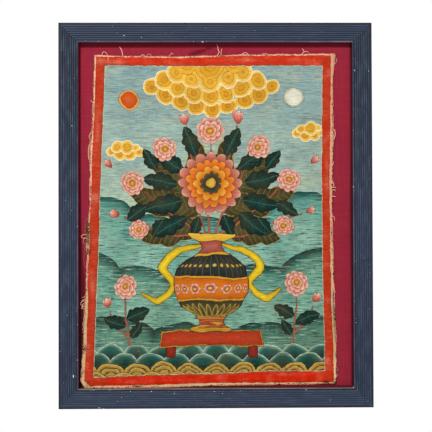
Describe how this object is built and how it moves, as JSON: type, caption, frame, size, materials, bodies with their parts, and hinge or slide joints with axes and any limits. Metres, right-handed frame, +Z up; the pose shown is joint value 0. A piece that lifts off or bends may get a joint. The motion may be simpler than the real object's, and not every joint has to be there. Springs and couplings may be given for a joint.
{
  "type": "thangka painting in a wooden frame",
  "caption": "Painted cotton cloth with a red border band and raw frayed edges, laid on a maroon cloth-covered mount in a reeded, mitred wooden frame without glass.",
  "frame": {"origin": "middle of the top rail's flat back face, where the frame meets the wall", "axes": "+Z up, -Y out of the picture's front, +Y into the wall, +X to the viewer's right"},
  "size_m": [0.451, 0.026, 0.5537],
  "materials": {
    "frame_paint": "satin",
    "mount_cloth": "matte",
    "painted_cotton": "matte"
  },
  "bodies": {
    "root": {"frame_rail_top": "frame_paint", "frame_rail_bottom": "frame_paint", "frame_stile_left": "frame_paint", "frame_stile_right": "frame_paint", "mount_panel": "mount_cloth", "painting_cloth": "painted_cotton"}
  },
  "joints": []
}
